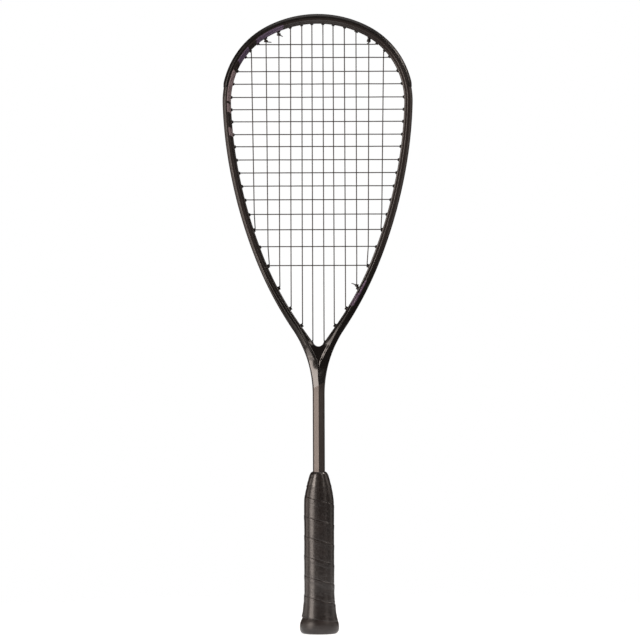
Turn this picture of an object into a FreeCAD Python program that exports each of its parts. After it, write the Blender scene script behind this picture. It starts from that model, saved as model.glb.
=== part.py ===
"""Squash racket: teardrop head, hollow moulded frame, two-piece stringing, taped handle.

Frame of reference, in millimetres: +Z runs from the butt to the crown of the head, X runs
across the head, and -Y is the front face.  The origin is the centre of the butt's end face.
"""
import FreeCAD, Part
import math
import os

Vector = FreeCAD.Vector

# ---- Driving dimensions -------------------------------------------------------------------
LENGTH = 686.0                # butt end to the crown of the bumper guard
BUMPER_THICKNESS = 1.1        # guard standing proud of the hoop's outer wall
CROWN_Z = LENGTH - BUMPER_THICKNESS

# Bare outer outline of the right half, from the crown down to the shaft, as a chain of
# tangent arcs: turn in degrees and radius.  The last arc is concave and ends on the shaft.
OUTLINE_ARCS = [(27.7, 121.6), (32.6, 90.0), (31.4, 94.0), (6.8, 473.7),
                (13.4, 533.5), (12.0, 400.0), (-33.9, -128.0)]
HOOP_ARCS = 5                 # the first arcs, which carry one constant section

# Moulded section, as depth in from the outer wall and half height from the mid plane
HOOP_WIDTH = 9.2
OUTER_HALF = 5.2              # flat outer wall
BEVEL = (1.2, 7.6)            # break in the outer bevel
RIDGE = (2.9, 9.5)            # outer edge of the flat front face
CREST = (5.9, 9.5)            # inner edge of the flat front face
INNER_HALF = 4.8              # flat inner wall
WALL = 0.8                    # laminate thickness

# String groove round the outside of the hoop
GROOVE_DEPTH = 1.8
GROOVE_HALF = 2.7
GROOVE_END_Z = 315.5          # height on the outline where the groove runs out
BASE_THICKNESS = 0.55         # strip base lying on the groove floor
FIT_GAP = 0.05                # clearance between a strip and the groove

# Leg and throat stations: outer edge height, inner edge (x, z), then the section there as
# ridge depth, crest depth, ridge half height, crest half height and inner half height
LEG_STATIONS = [(395.0, None, 3.1, 6.1, 9.5, 9.5, 4.8),
                (380.0, None, 3.5, 6.4, 9.5, 9.4, 4.9),
                (365.0, None, 4.1, 6.9, 9.5, 9.2, 5.0),
                (350.0, None, 4.7, 7.4, 9.6, 8.9, 5.2),
                (336.5, None, 5.2, 7.9, 9.6, 8.6, 5.4)]
THROAT_STATIONS = [(330.0, (14.1, 333.5), 5.2, 8.0, 9.6, 8.3, 5.7),
                   (324.0, (9.4, 326.8), 5.5, 8.3, 9.6, 8.0, 6.0),
                   (319.0, (4.8, 320.6), 6.1, 8.8, 9.6, 7.9, 6.6),
                   (314.5, (2.3, 318.6), 6.2, 8.9, 9.6, 7.8, 7.2),
                   (311.5, (0.0, 318.1), 6.3, 9.1, 9.6, 7.8, 7.5)]
SHAFT_STATIONS = [(306.0, (0.0, 306.0), 8.0, 10.2, 9.6, 8.0, 7.7),
                  (301.0, (0.0, 301.0), 9.3, 10.6, 9.6, 8.5, 8.3),
                  (296.5, (0.0, 296.5), 9.6, 9.95, 9.5, 9.3, 9.3),
                  (290.0, (0.0, 290.0), 8.3, 8.65, 9.5, 9.45, 9.45),
                  (282.0, (0.0, 282.0), 7.2, 7.55, 9.4, 9.4, 9.4)]
LEG_WIDTHS = [(410.0, 9.2), (380.0, 9.4), (350.0, 9.8), (336.5, 10.1), (318.0, 10.9)]

# Shaft: half section with a centre ridge, as half width and half height
SHAFT_OUTER_HALF = 4.4
SHAFT_BEVEL = (1.0, 6.7)
SHAFT_RIDGE_HALF = 9.35       # half height at the centre ridge
CREST_SLOPE = 0.5             # fall of the facet per millimetre beside the centre ridge
SHAFT_TOP_Z = 266.0
SHAFT_BOTTOM_Z = 6.0
SHAFT_BORE_TOP_Z = 262.0

# Strings
STRING_D = 1.2
WEAVE = 0.68                  # half height of the weave at a crossing
WEAVE_RADIUS = 8.0
RUN_SHARE = 0.45              # most of a run that one bend may take up
TIP_RADIUS = 2.0
EXIT_RADIUS = 1.0
LANE = 1.3                    # side lane that an outside loop takes in the groove
PAIR_OFFSET = 0.65            # half spacing of two strings in one wide hole
LOOP_LEAD = 3.0               # distance from a hole to where its loop reaches the lane
LOOP_STEP = 8.0
MAIN_TOP_X = [6.1, 17.3, 29.8, 42.7, 56.9, 73.3]
MAIN_BOTTOM_X = [6.2, 17.6, 30.1, 42.7, 55.4, 69.8]
CROSS_Z = [652.5, 638.0, 622.6, 608.7, 594.1, 580.5, 567.1, 552.9, 539.5,
           524.8, 510.4, 495.8, 480.6, 464.5, 447.4, 428.7, 407.7]
SHARED_ENDS = {14: 5, 16: 4}  # cross ends that pass through a main's lower hole
KNOT_R = 1.28                 # centre-line radius of a knot's turns round its main
KNOT_DROP = 2.2               # knot's first turn beyond the barrel tip
KNOT_GAP = 0.04
TAIL_LENGTH = 4.5
# Knots: the tied string, the main it is tied round, side, top or bottom, and the tail's way
KNOTS = [("main", 4, 1, True, (-1.0, -0.3, -0.7)), ("main", 4, -1, True, (1.0, -0.3, -0.15)),
         ("cross", 3, -1, True, (0.6, -0.8, -0.4)), ("cross", 3, 1, False, (-1.0, -0.3, 0.35))]

# Grommet barrels
BARREL_R = 1.5
BARREL_BORE_R = 0.9
WIDE_BARREL_R = 1.95
WIDE_BORE_R = 1.4
HEAD_PROUD = 1.5              # barrel standing in from the inner wall, round the head
LEG_PROUD = 2.3               # the same on the legs
LEG_LEAN = 0.75               # a leg's main lies this far up from the middle of its bore
LEG_TOP_Z = 405.0             # outline heights below this count as legs
BUMPER_END_S = 142.5          # distance along the outline from the crown
STRIP_GAP = 0.5

# Handle, as half widths across X and Y
GRIP_X, GRIP_Y = 16.5, 14.0
GRIP_THICKNESS = 1.8
CORNER_X, CORNER_Y = 9.5, 8.0  # cut-off corners of the octagon
CONE_START_Z = 146.0
FOAM_TOP_Z = 174.0
# Cone at the top of the grip: height, growth across X and growth across Y
CONE_ROWS = [(153.0, -0.8, -0.4), (160.0, -2.2, -1.1), (166.5, -3.7, -1.9),
             (FOAM_TOP_Z, -5.4, -2.6)]
FINISH_ROWS = [(163.0, -2.4, -1.0), (166.5, -3.3, -1.5), (170.0, -4.6, -2.0),
               (174.5, -5.8, -2.4), (178.0, -7.2, -3.0)]
COLLAR_TOP_Z = 182.0
COLLAR_THICKNESS = 0.9
CAP_FLOOR = 3.5               # solid end of the butt cap under the foam
CAP_FLARE = [(0.0, 2.0, 2.0), (1.2, 3.3, 3.3), (3.6, 4.7, 4.7), (6.5, 5.0, 5.0),
             (10.5, 5.0, 5.0), (12.4, 4.3, 4.3)]
CAP_SKIRT = [(12.5, 2.1, 2.1), (20.0, 1.0, 1.0), (30.0, -0.3, -0.3), (38.0, -1.1, -1.1)]
STAPLE_D = 0.6
STAPLE_Z = 26.0
STAPLE_HALF = 3.0
STAPLE_LEG = 6.0
STAPLE_PROUD = 0.6

OUTLINE_LENGTHS = [abs(math.radians(turn) * radius) for turn, radius in OUTLINE_ARCS]
HOOP_END_S = sum(OUTLINE_LENGTHS[:HOOP_ARCS])


# ---- The outline as a path ------------------------------------------------------------------
def outline_at(s):
    """Position and heading on the outer outline, s from the crown, negative to the left."""
    left = abs(s)
    x, z, heading = 0.0, CROWN_Z, 0.0
    for (turn, radius), length in zip(OUTLINE_ARCS, OUTLINE_LENGTHS):
        step = min(left, length)
        swing = math.radians(turn) * step / length
        x += radius * (math.sin(heading + swing) - math.sin(heading))
        z += radius * (math.cos(heading + swing) - math.cos(heading))
        heading += swing
        left -= step
    side = -1.0 if s < 0 else 1.0
    return side * x, z - left, side * heading


def place(s, depth, y=0.0):
    """Point at a depth in from the outer wall."""
    x, z, heading = outline_at(s)
    return Vector(x - math.sin(heading) * depth, y, z - math.cos(heading) * depth)


def s_where(test, low, high):
    """Arc length between low and high where test turns from true to false."""
    for _ in range(50):
        middle = (low + high) / 2.0
        if test(middle):
            low = middle
        else:
            high = middle
    return low


def s_at_height(z):
    """Arc length on the right half where the outline is at height z."""
    return s_where(lambda s: outline_at(s)[1] > z, 0.0, sum(OUTLINE_LENGTHS))


def width_at(s):
    """In-plane width of the tube, square to the outline."""
    z = outline_at(s)[1]
    if z >= LEG_WIDTHS[0][0]:
        return HOOP_WIDTH
    for (z_high, wide_high), (z_low, wide_low) in zip(LEG_WIDTHS, LEG_WIDTHS[1:]):
        if z >= z_low:
            part = (z_high - z) / (z_high - z_low)
            return wide_high + part * (wide_low - wide_high)
    return LEG_WIDTHS[-1][1]


def outline_wire(start, end):
    """The outline between two arc lengths, as true arcs."""
    joints = [0.0]
    for length in OUTLINE_LENGTHS:
        joints += [joints[-1] + length]
    joints = sorted(set([-s for s in joints] + joints))
    stops = [start] + [s for s in joints if start < s < end] + [end]
    edges = []
    for low, high in zip(stops, stops[1:]):
        arc = Part.Arc(place(low, 0), place((low + high) / 2.0, 0), place(high, 0))
        edges.append(arc.toShape())
    return Part.Wire(edges)


def closed(points):
    return Part.makePolygon(points + points[:1])


def mirrored_profile(half):
    """Profile points (depth, y) for both faces, from its front half."""
    return [(d, -y) for d, y in half] + [(d, y) for d, y in reversed(half)]


def sweep(half_profile, start, end):
    """Carry a profile of (depth, half height) points along the outline."""
    profile = closed([place(start, d, y) for d, y in mirrored_profile(half_profile)])
    return outline_wire(start, end).makePipeShell([profile], True, False)


# ---- Frame ------------------------------------------------------------------------------------
def station_wire(row, half_profile, s=None):
    """One leg or throat section, between its outer point and its inner point."""
    s = s_at_height(row[0]) if s is None else s
    outer = place(s, 0)
    inner = place(s, width_at(s)) if row[1] is None else Vector(row[1][0], 0, row[1][1])
    inward = (inner - outer).normalize()
    points = []
    for depth, y in mirrored_profile(half_profile):
        points.append(outer + inward * depth + Vector(0, y, 0))
    return closed(points)


def station_width(row, s=None):
    """Distance from the outer point to the inner point of a station."""
    s = s_at_height(row[0]) if s is None else s
    if row[1] is None:
        return width_at(s)
    outer = place(s, 0)
    return (Vector(row[1][0], 0, row[1][1]) - outer).Length


def solid_profile(row, s=None):
    """Front half of the full section at a station, blending hoop bevel into shaft bevel."""
    outer_z, _, ridge, crest, ridge_y, crest_y, inner_y = row
    blend = min(1.0, max(0.0, (336.5 - outer_z) / 40.0))
    outer_y = OUTER_HALF + blend * (SHAFT_OUTER_HALF - OUTER_HALF)
    bevel_in = BEVEL[0] + blend * (SHAFT_BEVEL[0] - BEVEL[0])
    bevel_y = BEVEL[1] + blend * (SHAFT_BEVEL[1] - BEVEL[1])
    return [(0, outer_y), (bevel_in, bevel_y), (ridge, ridge_y), (crest, crest_y),
            (station_width(row, s), inner_y)]


def void_profile(row, s=None):
    """Front half of the hollow inside a hoop or leg section."""
    _, _, _, crest, ridge_y, crest_y, inner_y = row
    return [(GROOVE_DEPTH + WALL, ridge_y - 1.6 * WALL), (crest, crest_y - WALL),
            (station_width(row, s) - WALL, inner_y - 0.6 * WALL)]


def ruled(wires):
    return Part.makeLoft(wires, True, True)


def both_sides(shape):
    return [shape, shape.mirror(Vector(0, 0, 0), Vector(1, 0, 0))]


def shaft_wire(z, inset=0.0):
    """Full shaft section at height z, drawn in by an inset."""
    half = outline_at(s_at_height(SHAFT_TOP_Z))[0]
    right = [(half - inset, SHAFT_OUTER_HALF - 0.4 * inset),
             (half - SHAFT_BEVEL[0] - 0.7 * inset, SHAFT_BEVEL[1] - 0.8 * inset),
             (0.0, SHAFT_RIDGE_HALF - 1.15 * inset)]
    corners = [(x, -y) for x, y in right] + [(-x, -y) for x, y in reversed(right[:2])]
    corners += [(-x, y) for x, y in right] + [(x, y) for x, y in reversed(right[:2])]
    return closed([Vector(x, y, z) for x, y in corners])


def shaft_prism(z_low, z_high, inset=0.0):
    return Part.Face(shaft_wire(z_low, inset)).extrude(Vector(0, 0, z_high - z_low))


def make_frame(holes):
    hoop_half = [(0, OUTER_HALF), BEVEL, RIDGE, CREST, (HOOP_WIDTH, INNER_HALF)]
    hoop = sweep(hoop_half, -HOOP_END_S, HOOP_END_S)
    first = (LEG_WIDTHS[0][0], None, RIDGE[0], CREST[0], RIDGE[1], CREST[1], INNER_HALF)

    rows = LEG_STATIONS + THROAT_STATIONS
    wires = [station_wire(first, solid_profile(first, HOOP_END_S), HOOP_END_S)]
    wires += [station_wire(row, solid_profile(row)) for row in rows]
    leg = ruled(wires)

    throat_rows = THROAT_STATIONS[-1:] + SHAFT_STATIONS
    wires = [station_wire(row, solid_profile(row)) for row in throat_rows]
    half = outline_at(s_at_height(SHAFT_TOP_Z))[0]
    end_profile = [(0, SHAFT_OUTER_HALF), SHAFT_BEVEL]
    for back in (0.65, 0.3, 0.0):
        end_profile.append((half - back, SHAFT_RIDGE_HALF - CREST_SLOPE * back))
    end_row = (SHAFT_TOP_Z, (0.0, SHAFT_TOP_Z), 0, 0, 0, 0, 0)
    wires.append(station_wire(end_row, end_profile))
    throat = ruled(wires)

    shaft = shaft_prism(SHAFT_BOTTOM_Z, SHAFT_TOP_Z)
    body = hoop.fuse(both_sides(leg) + both_sides(throat) + [shaft])

    hoop_void = sweep(void_profile(first, HOOP_END_S), -HOOP_END_S, HOOP_END_S)
    void_wires = [station_wire(first, void_profile(first, HOOP_END_S), HOOP_END_S)]
    void_wires += [station_wire(row, void_profile(row)) for row in LEG_STATIONS]
    shaft_void = shaft_prism(SHAFT_BOTTOM_Z - 1.0, SHAFT_BORE_TOP_Z, WALL)

    groove_end = s_at_height(GROOVE_END_Z)
    groove = sweep([(-1.0, GROOVE_HALF), (GROOVE_DEPTH, GROOVE_HALF)], -groove_end, groove_end)
    drills = [hole.cylinder(hole.radius + FIT_GAP, -1.0, hole.depth + 1.0) for hole in holes]
    cutters = [hoop_void, shaft_void, groove] + both_sides(ruled(void_wires)) + drills
    return body.cut(cutters)


# ---- String holes -------------------------------------------------------------------------------
class Hole:
    """A string hole square to the outline, with the barrel that lines it."""

    def __init__(self, s, wide=False):
        self.s = s
        self.wide = wide
        self.on_leg = outline_at(s)[1] < LEG_TOP_Z
        self.depth = width_at(s) + (LEG_PROUD if self.on_leg else HEAD_PROUD)
        self.radius = WIDE_BARREL_R if wide or self.on_leg else BARREL_R
        self.bore = WIDE_BORE_R if wide or self.on_leg else BARREL_BORE_R

    def cylinder(self, radius, start, end):
        low = place(self.s, start)
        axis = place(self.s, end) - low
        return Part.makeCylinder(radius, axis.Length, low, axis)

    def tip(self, y=0.0):
        return place(self.s, self.depth, y)

    def main_tip(self, y=0.0):
        """Where a main leaves the barrel: its pull holds it to the upper side of a leg's bore."""
        if not self.on_leg:
            return self.tip(y)
        heading = abs(outline_at(self.s)[2])
        side = -1.0 if self.s < 0 else 1.0
        lean = LEG_LEAN / 2.0 if self.wide else LEG_LEAN
        return self.tip(y) + Vector(-side * math.cos(heading), 0, math.sin(heading)) * lean

    def exit(self, y=0.0):
        """Where the string turns into the groove."""
        return place(self.s, string_depth(), y)


def string_depth():
    """Depth of a string's centre line as it lies in the groove."""
    return GROOVE_DEPTH - BASE_THICKNESS - STRING_D / 2.0 - 0.05


def tip_at(s):
    return Hole(s).tip()


def cross_s(index):
    """Arc length of the hole whose tip lies at a cross's height."""
    return s_where(lambda s: tip_at(s).z > CROSS_Z[index], 20.0, 400.0)


def main_holes():
    """Top and bottom holes of the six right-hand mains."""
    pairs = []
    for index, top_x in enumerate(MAIN_TOP_X):
        bottom_x = MAIN_BOTTOM_X[index]
        top = s_where(lambda s: tip_at(s).x < top_x, 0.0, 110.0)
        bottom = s_where(lambda s: Hole(s).main_tip().x > bottom_x, 250.0, s_at_height(GROOVE_END_Z))
        for cross, main in SHARED_ENDS.items():
            if main == index:
                bottom = cross_s(cross)
        tied_top = index in (3, 4)
        tied_bottom = index == 3 or index in SHARED_ENDS.values()
        pairs.append((Hole(top, tied_top), Hole(bottom, tied_bottom)))
    return pairs


def cross_holes(mains):
    """Right-hand hole of each cross."""
    holes = []
    for index in range(len(CROSS_Z)):
        if index in SHARED_ENDS:
            holes.append(mains[SHARED_ENDS[index]][1])
        else:
            holes.append(Hole(cross_s(index)))
    return holes


def left(hole):
    return Hole(-hole.s, hole.wide)


# ---- Strings ------------------------------------------------------------------------------------
def main_x(index, z):
    """The outer mains draw in slightly towards the handle."""
    part = (CROSS_Z[0] - z) / (CROSS_Z[0] - CROSS_Z[-1])
    return MAIN_TOP_X[index] + part * (MAIN_BOTTOM_X[index] - MAIN_TOP_X[index])


def crosses_main(cross, main, mains, cross_hole_list):
    """Whether a cross passes over or under a main inside the head."""
    inside_x = main_x(main, CROSS_Z[cross]) < tip_at(cross_hole_list[cross].s).x - 1.5
    top, bottom = mains[main]
    return inside_x and bottom.tip().z + 1.5 < CROSS_Z[cross] < top.tip().z - 1.5


def weave_y(column, cross):
    """Height of the main at a crossing; the cross takes the other sign."""
    return WEAVE if (column + cross) % 2 else -WEAVE


def main_stretch(side, index, mains, cross_hole_list):
    """Route of one main from its top exit to its bottom exit, as (point, radius)."""
    top, bottom = mains[index]
    if side < 0:
        top, bottom = left(top), left(bottom)
    column = index if side > 0 else -index - 1
    top_y = PAIR_OFFSET if top.wide else 0.0
    bottom_y = PAIR_OFFSET if bottom.wide else 0.0
    route = [(top.exit(top_y), EXIT_RADIUS), (top.tip(top_y), TIP_RADIUS)]
    for cross, z in enumerate(CROSS_Z):
        if crosses_main(cross, index, mains, cross_hole_list):
            crossing = Vector(side * main_x(index, z), weave_y(column, cross), z)
            route.append((crossing, WEAVE_RADIUS))
    route += [(bottom.main_tip(bottom_y), TIP_RADIUS), (bottom.exit(bottom_y), EXIT_RADIUS)]
    return route


def cross_stretch(index, mains, cross_hole_list):
    """Route of one cross from its left exit to its right exit."""
    right = cross_hole_list[index]
    other = left(right)
    end_y = -PAIR_OFFSET if right.wide else 0.0
    z = CROSS_Z[index]
    route = [(other.exit(end_y), EXIT_RADIUS), (other.tip(end_y), TIP_RADIUS)]
    for column in range(-len(MAIN_TOP_X), len(MAIN_TOP_X)):
        main = column if column >= 0 else -column - 1
        if crosses_main(index, main, mains, cross_hole_list):
            x = main_x(main, z) if column >= 0 else -main_x(main, z)
            route.append((Vector(x, -weave_y(column, index), z), WEAVE_RADIUS))
    route += [(right.tip(end_y), TIP_RADIUS), (right.exit(end_y), EXIT_RADIUS)]
    return route


def loop(start, end, lane):
    """Outside run in the groove between two holes, without its end points."""
    direction = 1.0 if end > start else -1.0
    first = start + direction * LOOP_LEAD
    last = end - direction * LOOP_LEAD
    count = max(1, math.ceil(abs(last - first) / LOOP_STEP))
    stops = [first + (last - first) * k / count for k in range(count + 1)]
    return [(place(s, string_depth(), lane), 100.0) for s in stops]


def main_route(mains, crosses):
    """From the left tie-off, along all twelve mains, to the right tie-off."""
    half_routes = []
    for side in (-1, 1):
        route = []
        for index in range(len(MAIN_TOP_X)):
            stretch = main_stretch(side, index, mains, crosses)
            downwards = index % 2 == 0
            if not downwards:
                stretch.reverse()
            if index:
                end = 0 if downwards else 1
                holes = mains[index - 1][end].s, mains[index][end].s
                route += loop(side * holes[0], side * holes[1], LANE)
            route += stretch
        tie = mains[4][0]
        route += loop(side * mains[5][0].s, side * tie.s, LANE)
        tied = left(tie) if side < 0 else tie
        route += [(tied.exit(-PAIR_OFFSET), EXIT_RADIUS), (tied.tip(-PAIR_OFFSET), EXIT_RADIUS),
                  (tied_end(*knot_axis(4, side, mains, crosses, True)), 0)]
        half_routes.append(route)
    first = list(reversed(half_routes[0]))
    middle = loop(-mains[0][0].s, mains[0][0].s, LANE)
    return first + middle + half_routes[1]


def cross_route(mains, crosses):
    """From the starting knot at the upper left, across the head, to the lower right knot."""
    start = left(mains[3][0])
    route = [(tied_end(*knot_axis(3, -1, mains, crosses, True)), 0),
             (start.tip(-PAIR_OFFSET), EXIT_RADIUS), (start.exit(-PAIR_OFFSET), EXIT_RADIUS)]
    route += loop(start.s, -crosses[0].s, -LANE)
    for index in range(len(CROSS_Z)):
        stretch = cross_stretch(index, mains, crosses)
        rightwards = index % 2 == 0
        side = -1 if rightwards else 1
        if not rightwards:
            stretch.reverse()
        if index:
            route += loop(side * crosses[index - 1].s, side * crosses[index].s, -LANE)
        route += stretch
    end = mains[3][1]
    route += loop(crosses[-1].s, end.s, -LANE)
    return route + [(end.exit(-PAIR_OFFSET), EXIT_RADIUS), (end.tip(-PAIR_OFFSET), EXIT_RADIUS),
                    (tied_end(*knot_axis(3, 1, mains, crosses, False)), 0)]


def tube(route, diameter):
    """Round tube along straight runs and tangent arcs, made of true cylinders and tori."""
    ring = Part.makeCircle(diameter / 2.0, route[0][0], route[1][0] - route[0][0])
    faces = [Part.Face(Part.Wire(ring))]
    last = route[0][0]
    for (before, _), (corner, radius), (after, _) in zip(route, route[1:], route[2:]):
        into = (corner - before).normalize()
        out = (after - corner).normalize()
        half_turn = into.getAngle(out) / 2.0
        nearest = min((corner - before).Length, (after - corner).Length)
        reach = min(radius * math.tan(half_turn), RUN_SHARE * nearest)
        begin = corner - into * reach
        run = begin - last
        faces.append(ring.extrude(run))
        ring = ring.translated(run)
        centre = corner + (out - into).normalize() * (reach / math.sin(half_turn))
        axis = into.cross(out)
        turn = math.degrees(2.0 * half_turn)
        faces.append(ring.revolve(centre, axis, turn))
        ring = ring.rotated(centre, axis, turn)
        last = corner + out * reach
    run = route[-1][0] - last
    faces.append(ring.extrude(run))
    faces.append(Part.Face(Part.Wire(ring.translated(run))))
    skin = Part.Compound(faces)
    skin.sewShape()
    return Part.Solid(skin.Shells[0])


def knot_axis(index, side, mains, crosses, at_top):
    """Centre of a knot's first turn round its main, and the main's direction there."""
    route = main_stretch(side, index, mains, crosses)
    tip, beyond = (route[1], route[2]) if at_top else (route[-2], route[-3])
    along = (beyond[0] - tip[0]).normalize()
    return tip[0] + along * KNOT_DROP, along


def tied_end(centre, along):
    """Where a tied string stops, just short of its knot."""
    across = Vector(0, -1, 0) + along * along.y
    return centre + across.normalize() * KNOT_R - along * (STRING_D / 2.0 + KNOT_GAP)


def knot(centre, along, tail_direction):
    """Two turns of string round a main, and the cut tail."""
    pieces = []
    for turn in range(2):
        middle = centre + along * turn * (STRING_D + KNOT_GAP)
        pieces.append(Part.makeTorus(KNOT_R, STRING_D / 2.0, middle, along))
    away = Vector(tail_direction).normalize()
    level = Vector(away.x, away.y, 0).normalize()
    root = centre + along * STRING_D * 0.5 + level * (KNOT_R + 1.7 * STRING_D / 2.0)
    pieces.append(Part.makeCylinder(STRING_D / 2.0, TAIL_LENGTH, root, away))
    return pieces


# ---- Bumper guard and grommet strips --------------------------------------------------------------
def add_barrels(base, holes):
    barrels = []
    bores = []
    for hole in holes:
        barrels.append(hole.cylinder(hole.radius, GROOVE_DEPTH - 0.3, hole.depth))
        bores.append(hole.cylinder(hole.bore, -3.0, hole.depth + 1.0))
    return base.fuse(barrels).cut(bores)


def make_bumper(holes):
    """Channelled guard over the crown, lipped over the outer bevels."""
    floor_depth = GROOVE_DEPTH - FIT_GAP
    side_half = GROOVE_HALF - FIT_GAP
    outside = [(floor_depth - BASE_THICKNESS, 0.0), (floor_depth - BASE_THICKNESS, 2.2),
               (-BUMPER_THICKNESS, 2.4), (-BUMPER_THICKNESS, 5.6), (0.3, 8.6), (2.1, 10.3),
               (3.8, 10.3)]
    inside = [(3.8, RIDGE[1] + FIT_GAP), (RIDGE[0], RIDGE[1] + FIT_GAP),
              (BEVEL[0] - FIT_GAP, BEVEL[1] + FIT_GAP), (-FIT_GAP, OUTER_HALF + FIT_GAP),
              (-FIT_GAP, side_half), (floor_depth, side_half)]
    front = outside[1:] + inside
    points = [(d, -y) for d, y in front] + [(d, y) for d, y in reversed(front)]
    profile = closed([place(-BUMPER_END_S, d, y) for d, y in points])
    guard = outline_wire(-BUMPER_END_S, BUMPER_END_S).makePipeShell([profile], True, False)
    return add_barrels(guard, holes)


def make_strip(side, holes):
    floor_depth = GROOVE_DEPTH - FIT_GAP
    half = GROOVE_HALF - FIT_GAP
    start = BUMPER_END_S + STRIP_GAP
    end = s_at_height(GROOVE_END_Z) - STRIP_GAP
    low, high = (start, end) if side > 0 else (-end, -start)
    base = sweep([(floor_depth - BASE_THICKNESS, half), (floor_depth, half)], low, high)
    return add_barrels(base, holes)


# ---- Handle ---------------------------------------------------------------------------------------
def octagon(z, grow_x, grow_y=None):
    """Handle section at height z, grown outwards from the size of the taped grip."""
    grow_y = grow_x if grow_y is None else grow_y
    half_x, half_y = GRIP_X + grow_x, GRIP_Y + grow_y
    cut_x, cut_y = CORNER_X + 0.6 * grow_x, CORNER_Y + 0.6 * grow_y
    corners = [(half_x, half_y - cut_y), (half_x - cut_x, half_y)]
    ring = corners + [(-x, y) for x, y in reversed(corners)]
    ring += [(-x, -y) for x, y in corners] + [(x, -y) for x, y in reversed(corners)]
    return closed([Vector(x, y, z) for x, y in ring])


def handle_loft(rows, thinner=0.0):
    """Ruled solid through rows of (height, growth in x, growth in y)."""
    return ruled([octagon(z, gx - thinner, gy - thinner) for z, gx, gy in rows])


def make_handle():
    """Foam handle, butt cap, grip tape and finishing tape, nested without overlap."""
    foam_rows = [(CAP_FLOOR, 0.0, 0.0), (CONE_START_Z, 0.0, 0.0)] + CONE_ROWS
    foam_outer = handle_loft(foam_rows, GRIP_THICKNESS)
    core = shaft_prism(SHAFT_BOTTOM_Z, FOAM_TOP_Z + 5.0)
    foam = foam_outer.cut([core])

    cap_outer = handle_loft(CAP_FLARE + CAP_SKIRT)
    cap = cap_outer.cut([foam_outer])

    flare = [(z, grow + GRIP_THICKNESS, grow + GRIP_THICKNESS) for z, grow, _ in CAP_SKIRT]
    tape_rows = flare[:-1] + [(48.0, 0.0, 0.0), (CONE_START_Z, 0.0, 0.0)] + CONE_ROWS[:-1]
    tape = handle_loft(tape_rows).cut([cap_outer, foam_outer])

    finish = handle_loft(FINISH_ROWS).cut([tape, foam_outer, core])
    return foam, cap, tape, finish


def make_collar():
    """Rubber ring that closes the top of the handle against the shaft."""
    outer = shaft_prism(FINISH_ROWS[-1][0], COLLAR_TOP_Z, -COLLAR_THICKNESS)
    return outer.cut([shaft_prism(SHAFT_BOTTOM_Z, COLLAR_TOP_Z + 5.0)])


def make_staples():
    """Two wire staples that pin the cap skirt to the foam, front and back."""
    staples = []
    for side in (-1, 1):
        crown_y = side * (GRIP_Y - GRIP_THICKNESS + STAPLE_PROUD)
        foot_y = crown_y - side * STAPLE_LEG
        corners = [(-STAPLE_HALF, foot_y), (-STAPLE_HALF, crown_y),
                   (STAPLE_HALF, crown_y), (STAPLE_HALF, foot_y)]
        route = [(Vector(x, y, STAPLE_Z), STAPLE_D) for x, y in corners]
        staples.append(tube(route, STAPLE_D))
    return staples


def export(name, shape):
    shape.exportStep("parts/%s.step" % name)
    print("%-22s solids %d  volume %9.1f  valid %s" % (name, len(shape.Solids), shape.Volume,
                                                        shape.isValid()))


def main():
    os.makedirs("parts", exist_ok=True)
    mains = main_holes()
    crosses = cross_holes(mains)
    right = [hole for pair in mains for hole in pair]
    right += [hole for index, hole in enumerate(crosses) if index not in SHARED_ENDS]
    holes = right + [left(hole) for hole in right]

    export("frame", make_frame(holes))
    top = [hole for hole in holes if abs(hole.s) < BUMPER_END_S]
    export("bumper_guard", make_bumper(top))
    for name, side in (("grommet_strip_left", -1), ("grommet_strip_right", 1)):
        lower = [hole for hole in holes if hole.s * side > BUMPER_END_S]
        export(name, make_strip(side, lower))

    main_parts = [tube(main_route(mains, crosses), STRING_D)]
    cross_parts = [tube(cross_route(mains, crosses), STRING_D)]
    for parts, index, side, at_top, tail in KNOTS:
        pieces = knot(*knot_axis(index, side, mains, crosses, at_top), Vector(tail))
        (main_parts if parts == "main" else cross_parts).extend(pieces)
    export("main_string", Part.makeCompound(main_parts))
    export("cross_string", Part.makeCompound(cross_parts))

    foam, cap, tape, finish = make_handle()
    staples = make_staples()
    export("butt_staples", Part.makeCompound(staples))
    export("handle_foam", foam.cut(staples))
    export("butt_cap", cap.cut(staples))
    export("grip_tape", tape.cut(staples))
    export("finishing_tape", finish)
    export("shaft_collar", make_collar())


main()
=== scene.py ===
import math

import bmesh
import bpy
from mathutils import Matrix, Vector, noise


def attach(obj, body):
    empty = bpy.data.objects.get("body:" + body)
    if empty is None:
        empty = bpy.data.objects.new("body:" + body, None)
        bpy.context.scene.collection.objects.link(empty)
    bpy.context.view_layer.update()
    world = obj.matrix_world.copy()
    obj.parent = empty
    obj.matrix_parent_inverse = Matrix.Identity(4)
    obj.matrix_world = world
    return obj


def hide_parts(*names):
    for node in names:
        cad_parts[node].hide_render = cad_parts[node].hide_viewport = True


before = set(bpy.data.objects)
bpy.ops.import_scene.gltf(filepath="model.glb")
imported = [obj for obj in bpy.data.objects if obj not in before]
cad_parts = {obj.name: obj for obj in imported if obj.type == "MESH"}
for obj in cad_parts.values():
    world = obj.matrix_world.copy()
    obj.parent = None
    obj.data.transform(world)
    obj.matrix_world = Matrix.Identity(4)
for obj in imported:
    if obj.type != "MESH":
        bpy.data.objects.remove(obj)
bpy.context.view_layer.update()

MM = 0.001

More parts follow.
